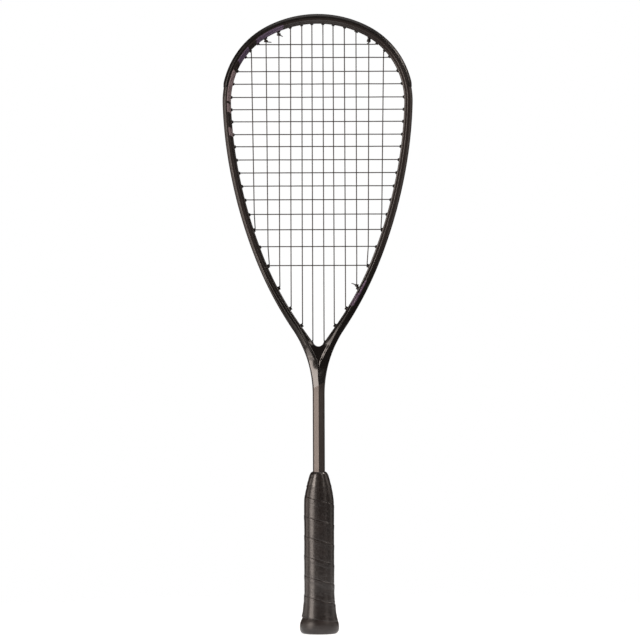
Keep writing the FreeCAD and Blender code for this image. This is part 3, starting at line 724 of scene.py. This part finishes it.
def knot_turns(index, side, mains, crosses, at_top, tail, own_y):
    """A tied string from its barrel tip: two turns round the main, a tuck and the cut tail."""
    hole = mains[index][0 if at_top else 1]
    hole = left(hole) if side < 0 else hole
    route = main_stretch(side, index, mains, crosses)
    tip, beyond = (route[1], route[2]) if at_top else (route[-2], route[-3])
    along = (beyond[0] - tip[0]).normalized()
    centre = tip[0] + along * (KNOT_DROP - 1.8)
    front = (Vector((0, -1, 0)) + along * along.y).normalized()
    sideways = along.cross(front)
    points = []
    for k in range(33):
        turn = 2.0 * math.pi * k / 12.0
        drop = 0.1 + 0.86 * k / 12.0
        arm = front * math.cos(turn) + sideways * math.sin(turn)
        points.append((centre + arm * (KNOT_R + 0.25 * k / 12.0) + along * drop, 100.0))
    away = Vector(tail).normalized()
    last = points[-1][0]
    points.append((last + front * 0.5 + away * 1.0, 100.0))
    points.append((last + front * 0.8 + away * TAIL_LENGTH, 0.0))
    return [(hole.exit(own_y), EXIT_RADIUS), (hole.tip(own_y), EXIT_RADIUS)] + points


def main_route(mains, crosses):
    half_routes = []
    for side in (-1, 1):
        route = []
        for index in range(len(MAIN_TOP_X)):
            stretch = main_stretch(side, index, mains, crosses)
            downwards = index % 2 == 0
            if not downwards:
                stretch.reverse()
            if index:
                end = 0 if downwards else 1
                holes = mains[index - 1][end].s, mains[index][end].s
                route += loop(side * holes[0], side * holes[1], LANE)
            route += stretch
        route += loop(side * mains[5][0].s, side * mains[4][0].s, LANE)
        route += knot_turns(4, side, mains, crosses, True, MAIN_TAILS[side], -PAIR_OFFSET)
        half_routes.append(route)
    middle = loop(-mains[0][0].s, mains[0][0].s, LANE)
    return list(reversed(half_routes[0])) + middle + half_routes[1]


def cross_route(mains, crosses):
    start = knot_turns(3, -1, mains, crosses, True, FIRST_CROSS_TAIL, -PAIR_OFFSET)
    route = list(reversed(start))
    route += loop(-mains[3][0].s, -crosses[0].s, -LANE)
    for index in range(len(CROSS_Z)):
        stretch = cross_stretch(index, mains, crosses)
        rightwards = index % 2 == 0
        side = -1 if rightwards else 1
        if not rightwards:
            stretch.reverse()
        if index:
            route += loop(side * crosses[index - 1].s, side * crosses[index].s, -LANE)
        route += stretch
    route += loop(crosses[-1].s, mains[3][1].s, -LANE)
    return route + knot_turns(3, 1, mains, crosses, False, LAST_CROSS_TAIL, -PAIR_OFFSET)


def centre_line(route):
    """Points along straight runs and tangent arcs."""
    points = [route[0][0]]
    for (before, _), (corner, radius), (after, _) in zip(route, route[1:], route[2:]):
        into = (corner - before).normalized()
        out = (after - corner).normalized()
        half_turn = into.angle(out, 0.0) / 2.0
        nearest = min((corner - before).length, (after - corner).length)
        reach = min(radius * math.tan(half_turn), RUN_SHARE * nearest)
        steps = 1 + math.ceil(math.degrees(2.0 * half_turn) / 14.0)
        for i in range(steps + 1):
            t = i / steps
            points.append((corner - into * reach) * (1 - t) ** 2 + corner * (2 * t * (1 - t))
                          + (corner + out * reach) * t ** 2)
    points.append(route[-1][0])
    return points


def tube(skin, points, radius, sides=12):
    """A round tube with rolled-off ends; the second paint coordinate runs round it."""
    rows, paint = [], []
    tangent = (points[1] - points[0]).normalized()
    arm = tangent.orthogonal().normalized()
    travelled = 0.0
    radii = [radius] * len(points)
    radii[0] = radii[-1] = 0.72 * radius
    for k, point in enumerate(points):
        ahead = points[min(k + 1, len(points) - 1)] - points[max(k - 1, 0)]
        tangent = ahead.normalized() if ahead.length > 1e-9 else tangent
        arm = (arm - tangent * arm.dot(tangent)).normalized()
        other = tangent.cross(arm)
        travelled += (point - points[max(k - 1, 0)]).length
        row, coordinates = [], []
        for c in range(sides):
            angle = 2.0 * math.pi * c / sides
            row.append(point + (arm * math.cos(angle) + other * math.sin(angle)) * radii[k])
            coordinates.append((travelled * MM, c / sides))
        rows.append(row)
        paint.append(coordinates)
    first = skin.grid(rows, paint, around=True)
    skin.cap(first, sides)
    skin.cap(first + (len(rows) - 1) * sides, sides)


def make_strings(mains, crosses):
    material = string_fibre()
    for name, route in (("main_string", main_route(mains, crosses)),
                        ("cross_string", cross_route(mains, crosses))):
        skin = Skin()
        tube(skin, centre_line(route), STRING_D / 2.0)
        build(name + "_wound", skin, material, [name])


# ---- Bumper guard and grommet strips ---------------------
def barrel(skin, hole):
    """Barrel lining a hole: filleted foot, slightly waisted wall, rolled rim and open bore."""
    heading = outline_at(hole.s)[2]
    across = Vector((math.cos(heading), 0, -math.sin(heading)))
    up = Vector((0, 1, 0))
    r, rim = hole.radius, hole.radius + 0.12
    legs = hole.depth - hole.wall > 2.0
    foot = 0.75 if legs else 1.0
    wall, tip = hole.wall, hole.depth
    profile = [(wall - 1.2, r + foot), (wall + 0.05, r + foot), (wall + 0.28, r + 0.42 * foot),
               (wall + 0.6, r + 0.12), (tip - 0.75, r - 0.02), (tip - 0.45, rim),
               (tip - 0.12, rim), (tip, r - 0.12), (tip + 0.02, r - 0.3),
               (tip - 0.1, hole.bore + 0.1), (tip - 0.5, hole.bore), (tip - 3.0, hole.bore)]
    base = GROOVE_DEPTH - BASE_THICKNESS
    outside = [(base + 0.6, hole.bore + 0.02), (base - 0.02, hole.bore + 0.12),
               (base - 0.16, hole.bore + 0.32), (base - 0.12, hole.bore + 0.55),
               (base + 0.1, hole.bore + 0.72)]
    for part in (profile, outside):
        rows, paint = [], []
        for depth, radius in part:
            centre = place(hole.s, depth)
            row = []
            for c in range(24):
                angle = 2.0 * math.pi * c / 24
                row.append(centre + (across * math.cos(angle) + up * math.sin(angle)) * radius)
            rows.append(row)
            paint.append([(hole.s * MM, depth * MM)] * 24)
        skin.grid(rows, paint, around=True)


def swept(skin, outline, radii, stations, shape=None):
    """Carries a closed profile of (depth, y) points along the outline, with rounded corners."""
    count = len(outline)
    rounded = []
    for k in range(count):
        before, here, after = [Vector((p[0], p[1], 0)) for p in
                               (outline[k - 1], outline[k], outline[(k + 1) % count])]
        rounded += bend(before, here, after, radii[k], 4)
    rows, paint = [], []
    for s in stations:
        points = [shape(s, p) if shape else p for p in rounded]
        rows.append([place(s, p.x, p.y) for p in points])
        paint.append([(s * MM, p.x * MM) for p in points])
    first = skin.grid(rows, paint, around=True)
    wide = len(rounded)
    skin.cap(first, wide)
    skin.cap(first + (len(rows) - 1) * wide, wide)


def mirrored(half):
    return [(d, -y) for d, y in half] + [(d, y) for d, y in reversed(half)]


def make_bumper(holes):
    front = [(FLOOR - BASE_THICKNESS, 2.2), (-BUMPER_THICKNESS, 2.45), (-BUMPER_THICKNESS, 5.6),
             (0.3, 8.6), (2.1, 10.3), (3.8, 10.2), (3.75, 9.5), (2.9, 9.45), (1.15, 7.55),
             (0.0, 5.15), (0.0, 2.65), (FLOOR, 2.65)]
    radii = [0.25, 0.5, 1.3, 1.6, 0.9, 0.3, 0.1, 0.1, 0.1, 0.1, 0.1, 0.1]
    count = int(2 * BUMPER_END_S / 1.25)
    stations = [-BUMPER_END_S + 2 * BUMPER_END_S * k / count for k in range(count + 1)]

    def ease(s, p):
        """The guard thins out over its last millimetres."""
        t = smooth((BUMPER_END_S - abs(s)) / 5.0)
        thin = lerp(0.45, 1.0, t)
        base = 0.0 if abs(p.y) < 5.15 else (abs(p.y) - 5.15) * 0.65
        depth = p.x if p.x > base else base + (p.x - base) * thin
        side = 1.0 if p.y > 0 else -1.0
        y = side * min(abs(p.y), 9.5 + 0.8 * thin)
        return Vector((depth, y, 0))

    skin = Skin()
    swept(skin, mirrored(front), radii + radii[::-1], stations, ease)
    for hole in holes:
        if abs(hole.s) < BUMPER_END_S:
            barrel(skin, hole)
    guard = nylon("guard_nylon", (0.0085, 0.0072, 0.0068), 0.36)
    build("bumper_guard_moulded", skin, guard, ["bumper_guard"])


def make_strips(holes):
    strip = nylon("grommet_nylon", (0.010, 0.0085, 0.008), 0.4)
    end = s_at_height(GROOVE_END_Z) - STRIP_GAP
    half = [(FLOOR - BASE_THICKNESS, 1.9), (FLOOR - BASE_THICKNESS - 0.25, 2.25),
            (FLOOR - BASE_THICKNESS - 0.25, 2.62), (FLOOR, 2.62)]
    radii = [0.15, 0.12, 0.12, 0.1]
    for name, side in (("grommet_strip_left", -1), ("grommet_strip_right", 1)):
        start = BUMPER_END_S + STRIP_GAP
        count = int((end - start) / 2.0)
        stations = [side * lerp(start, end, k / count) for k in range(count + 1)]
        skin = Skin()
        swept(skin, mirrored(half), radii + radii[::-1], stations)
        for hole in holes:
            if hole.s * side > BUMPER_END_S:
                barrel(skin, hole)
        build(name + "_moulded", skin, strip, [name])


# ---- Handle: rounded octagon sections ---------------------
def octagon_radius(angle, grow_x, grow_y):
    """Distance from the axis to the padded octagon in a direction."""
    power = 7.0
    half_x, half_y = GRIP_X + grow_x, GRIP_Y + grow_y
    cut_x, cut_y = CORNER_X + 0.6 * grow_x, CORNER_Y + 0.6 * grow_y
    slant = half_x * cut_y + (half_y - cut_y) * cut_x
    c, s = abs(math.cos(angle)), abs(math.sin(angle))
    corner = (c * cut_y + s * cut_x) / slant
    total = (c / half_x) ** power + (s / half_y) ** power + corner ** power
    flat = 1.0 + (half_x * cut_y / slant) ** power
    return (flat / total) ** (1.0 / power)


# Height from the top down, then growth across X and Y
GRIP_ROWS = [(166.3, -4.2, -2.3), (165.0, -3.7, -2.05), (160.0, -2.35, -1.2), (156.8, -1.5, -0.8),
             (152.4, -0.85, -0.45), (146.0, -0.1, -0.05), (130.0, 0.0, 0.0), (60.0, 0.0, 0.0),
             (46.0, 0.05, 0.05), (37.2, 0.6, 0.6), (28.4, 1.55, 1.55), (21.0, 2.6, 2.6),
             (16.0, 3.7, 3.7), (13.6, 4.25, 4.25)]
CAP_ROWS = [(22.0, 1.2, 1.2), (17.5, 2.6, 2.6), (15.0, 3.7, 3.7), (13.2, 4.45, 4.45),
            (10.5, 5.15, 5.05), (7.5, 5.45, 5.1), (5.0, 5.3, 4.9), (3.2, 4.8, 4.45),
            (1.8, 4.0, 3.7), (0.8, 2.95, 2.75), (0.2, 1.7, 1.6), (0.0, 0.2, 0.2)]


def seam_part(angle, z):
    """Share of the pitch above the nearest seam below, and how far round the wrap is."""
    turned = ((angle - math.pi) % (2.0 * math.pi)) / (2.0 * math.pi)
    climb = (z - SEAM_Z - SEAM_PITCH * (0.5 - turned)) / SEAM_PITCH
    return climb - math.floor(climb), math.floor(climb) + turned


def wrap_height(angle, z):
    """Relief of the overlapping tape: a raised upper edge, the step above it and soft creases."""
    part, turns = seam_part(angle, z)
    lap = smooth((part - 0.62) / 0.3) * (1.0 - smooth((part - 0.976) / 0.018))
    groove = smooth((part - 0.985) / 0.008) + (1.0 - smooth(part / 0.03))
    shade = 0.30 * lap - 0.16 * groove + 0.06 * math.sin(math.pi * part)
    around = angle * 16.0
    crease = noise.noise(Vector((around * 0.16 + 7.0 * math.floor(turns), part * SEAM_PITCH * 0.75,
                                 3.0)))
    fold = noise.noise(Vector((around * 0.05, part * SEAM_PITCH * 1.9 + 31.0, 9.0)))
    dent = noise.noise(Vector((around * 0.07, z * 0.05, 1.0)))
    return shade + 0.07 * crease + 0.05 * fold + 0.16 * dent


def ring_rows(heights, growth, relief, count=240, foot=None):
    """Rings up the handle; foot lifts the lowest ones to a slanted edge."""
    rows, paint = [], []
    for level in heights:
        row, coordinates = [], []
        for c in range(count):
            angle = 2.0 * math.pi * c / count
            z = foot(angle, level) if foot else level
            gx, gy = growth(z)
            radius = octagon_radius(angle, gx, gy) + relief(angle, z)
            row.append(Vector((radius * math.cos(angle), radius * math.sin(angle), z)))
            away = abs(angle - math.pi) / math.pi
            coordinates.append((50.0 * away * MM, (z + 0.5 * SEAM_PITCH * away) * MM))
        rows.append(row)
        paint.append(coordinates)
    return rows, paint


def growth_in(table):
    return lambda z: (table_at(table, z, 1), table_at(table, z, 2))


def make_grip():
    """Its top edge is tucked under the finishing tape; its slanted lower edge lies over the cap."""
    def foot(angle, level):
        lift = 2.4 * (1.0 - math.cos(angle)) * max(0.0, 1.0 - (level - GRIP_LOW_Z) / 12.0)
        return level + lift

    skin = Skin()
    heights = [GRIP_LOW_Z + (GRIP_TOP_Z - GRIP_LOW_Z) * k / 520 for k in range(521)]
    rows, paint = ring_rows(heights, growth_in(GRIP_ROWS), wrap_height, foot=foot)
    under = []
    for drop, inwards in ((0.35, 0.25), (0.45, 0.7), (0.4, 1.6)):
        under.insert(0, [Vector((p.x * (1 - inwards / 20.0), p.y * (1 - inwards / 18.0), p.z - drop))
                         for p in rows[0]])
    top_roll = [[Vector((p.x * 0.9, p.y * 0.9, p.z + 0.3)) for p in rows[-1]]]
    rows = under + rows + top_roll
    paint = [paint[0]] * len(under) + paint + [paint[-1]]
    skin.grid(rows, paint, around=True)
    build("grip_tape_wrapped", skin, leather(), ["grip_tape"])


def make_cap():
    """Rounded end with a shallow moulded ring in its end face."""
    skin = Skin()
    heights = [z for z, _, _ in CAP_ROWS]
    fine = []
    sides = 200
    for high, low in zip(heights, heights[1:]):
        steps = 4 if high - low > 0.9 else 3
        fine += [lerp(high, low, k / steps) for k in range(steps)]
    fine.append(0.0)
    rows, paint = ring_rows(fine, growth_in(CAP_ROWS), lambda angle, z: 0.0, sides)
    face = rows[-1]
    for share, z in ((0.93, 0.0), (0.80, 0.0), (0.78, 0.08), (0.765, 0.30), (0.74, 0.34),
                     (0.715, 0.30), (0.70, 0.08), (0.68, 0.0), (0.5, 0.0), (0.3, 0.0), (0.1, 0.0)):
        rows.append([Vector((p.x * share, p.y * share, z)) for p in face])
        paint.append(paint[-1])
    first = skin.grid(rows, paint, around=True)
    skin.cap(first + (len(rows) - 1) * sides, sides)
    plastic = moulded("butt_plastic", (0.014, 0.0105, 0.0095), 0.36, 0.1)
    build("butt_cap_moulded", skin, plastic, ["butt_cap"])


def make_tape():
    """Three overlapping turns of thin film round the cone."""
    table = [(179.3, -9.0, -4.1), (178.9, -8.3, -3.6), (178.0, -7.5, -3.0), (176.5, -6.6, -2.5),
             (174.6, -5.85, -2.15), (170.2, -4.6, -1.6), (165.8, -3.45, -1.2), (161.5, -2.3, -0.75)]

    def film_relief(angle, z):
        turned = ((angle - math.pi) % (2.0 * math.pi)) / (2.0 * math.pi)
        climb = (z - 150.0 + FILM_PITCH * turned) / FILM_PITCH
        part = climb - math.floor(climb)
        pinch = noise.noise(Vector((angle * 2.2, z * 0.35, 5.0)))
        return 0.10 * smooth(part / 0.06) * (1.0 - smooth((part - 0.4) / 0.6)) + 0.14 * pinch

    skin = Skin()
    heights = [FILM_LOW_Z + (FILM_TOP_Z - FILM_LOW_Z) * k / 110 for k in range(111)]
    rows, paint = ring_rows(heights, growth_in(table), film_relief)
    rows[0:0] = [[Vector((p.x * 0.955, p.y * 0.955, p.z - 0.1)) for p in rows[0]]]
    rows.append([Vector((p.x * 0.97, p.y * 0.97, p.z + 0.12)) for p in rows[-1]])
    rows.append([Vector((p.x * 0.85, p.y * 0.85, p.z)) for p in rows[-1]])
    paint = [paint[0]] + paint + [paint[-1], paint[-1]]
    skin.grid(rows, paint, around=True)
    build("finishing_tape_wound", skin, tape_film(), ["finishing_tape"])


def make_collar():
    """Rubber ring closing the top of the handle: rolled lip, groove and lower bead."""
    half = outline_at(s_at_height(266.0))[0]
    corners = [(half, 4.4), (half - 1.0, 6.7), (0.0, 9.35)]
    ring = [Vector((x, -y, 0)) for x, y in corners]
    ring += [Vector((-x, -y, 0)) for x, y in reversed(corners[:2])]
    ring += [Vector((-x, y, 0)) for x, y in corners] + [Vector((x, y, 0)) for x, y in corners[1::-1]]
    base = []
    for k, corner in enumerate(ring):
        base += bend(ring[k - 1], corner, ring[(k + 1) % len(ring)], 1.2, 6)
    profile = [(181.9, 0.0), (182.0, 0.3), (181.9, 0.62), (181.6, 0.8), (180.9, 0.82),
               (180.5, 0.62), (180.2, 0.6), (179.9, 0.85), (179.0, 0.95), (178.0, 0.95), (176.5, 0.9)]
    rows, paint = [], []
    for z, proud in profile:
        row = []
        for k, p in enumerate(base):
            way = (base[(k + 1) % len(base)] - base[k - 1]).normalized()
            row.append(Vector((p.x + way.y * proud, p.y - way.x * proud, z)))
        rows.append(row)
        paint.append([(p.x * MM, z * MM) for p in row])
    skin = Skin()
    skin.grid(rows, paint, around=True)
    rubber = moulded("collar_rubber", (0.012, 0.010, 0.0095), 0.42)
    build("shaft_collar_moulded", skin, rubber, ["shaft_collar"])


# ---- Studio ----------------------------------------------
WARM = (1.0, 0.88, 0.80)


def soft_light(name, place_at, look_z, size, power, tint=WARM):
    data = bpy.data.lights.new(name, "AREA")
    data.shape = "RECTANGLE"
    data.size, data.size_y = size
    data.energy = power
    data.color = tint
    lamp = in_scene(name, data)
    lamp.location = place_at
    lamp.rotation_euler = (Vector((0, 0, look_z)) - Vector(place_at)).to_track_quat("-Z", "Y").to_euler()


LENS, SENSOR = 200.0, 36.0
VIEW_WIDTH = 0.7089                   # metres across the picture at the racket
CAMERA_X, CAMERA_Z, CAMERA_ROLL = 0.00177, 0.3473, 0.0035
FLOOR_REACH = 2.4


def make_studio():
    """Long lens from the front, a pale floor that fades out, and soft lights round the racket."""
    scene = bpy.context.scene
    camera_data = bpy.data.cameras.new("camera")
    camera_data.lens = LENS
    camera_data.sensor_width = SENSOR
    camera = in_scene("camera", camera_data)
    camera.location = (CAMERA_X, -VIEW_WIDTH * LENS / SENSOR, CAMERA_Z)
    camera.rotation_euler = (math.pi / 2.0, CAMERA_ROLL, 0.0)
    camera_data.clip_end = 60.0
    scene.camera = camera

    floor_mesh = bpy.data.meshes.new("studio_floor")
    corners = [(x * FLOOR_REACH, y * FLOOR_REACH, 0) for x, y in ((-1, -1), (1, -1), (1, 1), (-1, 1))]
    floor_mesh.from_pydata(corners, [], [(0, 1, 2, 3)])
    floor = in_scene("studio_floor", floor_mesh)
    n = Nodes("studio_floor", (0.9, 0.9, 0.9), 0.8, specular=0.1)
    n.put("Emission Color", (1.0, 1.0, 1.0, 1.0))
    n.put("Emission Strength", 0.8)
    n.link(n.mix(n.speckle(n.place(), 3.0), (0.90, 0.90, 0.90), (0.93, 0.93, 0.93)), "Base Color")
    far = n.node("ShaderNodeVectorMath", [("operation", "LENGTH")], Vector=n.place())
    n.link(n.ramp(far.outputs["Value"], 0.12, 0.6, 1.0, 0.0), "Alpha")
    floor_mesh.materials.append(n.material)

    world = bpy.data.worlds.new("studio")
    scene.world = world
    world.use_nodes = True
    tree = world.node_tree
    seen = tree.nodes.new("ShaderNodeLightPath")
    dim = tree.nodes["Background"]
    dim.inputs["Color"].default_value = (1.0, 0.84, 0.78, 1.0)
    dim.inputs["Strength"].default_value = 0.05
    white = tree.nodes.new("ShaderNodeBackground")
    white.inputs["Color"].default_value = (1.0, 1.0, 1.0, 1.0)
    both = tree.nodes.new("ShaderNodeMixShader")
    tree.links.new(seen.outputs["Is Camera Ray"], both.inputs[0])
    tree.links.new(dim.outputs[0], both.inputs[1])
    tree.links.new(white.outputs[0], both.inputs[2])
    tree.links.new(both.outputs[0], tree.nodes["World Output"].inputs["Surface"])
    scene.view_settings.view_transform = "Standard"

    soft_light("strip_left", (-1.66, -1.30, 0.46), 0.3, (1.1, 1.63), 36.0)
    soft_light("strip_left_low", (-1.5, -1.5, -0.45), 0.3, (0.8, 0.2), 1.2)
    soft_light("side_left", (-2.1, 0.4, -0.1), 0.3, (0.8, 1.9), 7.0)
    soft_light("strip_right", (1.6, -1.45, 1.03), 0.3, (0.6, 1.9), 4.5)
    soft_light("side_right", (2.1, 0.4, 0.6), 0.4, (0.8, 1.6), 3.0)
    soft_light("high_right", (1.6, 0.2, 1.7), 0.1, (0.5, 0.5), 12.0)
    soft_light("upper_right", (1.55, -1.5, 1.7), 0.35, (0.6, 0.7), 5.0)
    soft_light("overhead", (0.0, 0.3, 3.2), 0, (2.6, 2.6), 22.0, (1.0, 0.95, 0.93))


def main():
    mains = main_holes()
    crosses = cross_holes(mains)
    right = [hole for pair in mains for hole in pair]
    right += [hole for index, hole in enumerate(crosses) if index not in SHARED_ENDS]
    holes = right + [left(hole) for hole in right]
    make_studio()
    make_frame()
    make_bumper(holes)
    make_strips(holes)
    make_strings(mains, crosses)
    make_grip()
    make_cap()
    make_tape()
    make_collar()
    for node, material in (("handle_foam", foam_cells()), ("butt_staples", wire_steel())):
        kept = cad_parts[node]
        kept.data.materials.clear()
        kept.data.materials.append(material)


main()
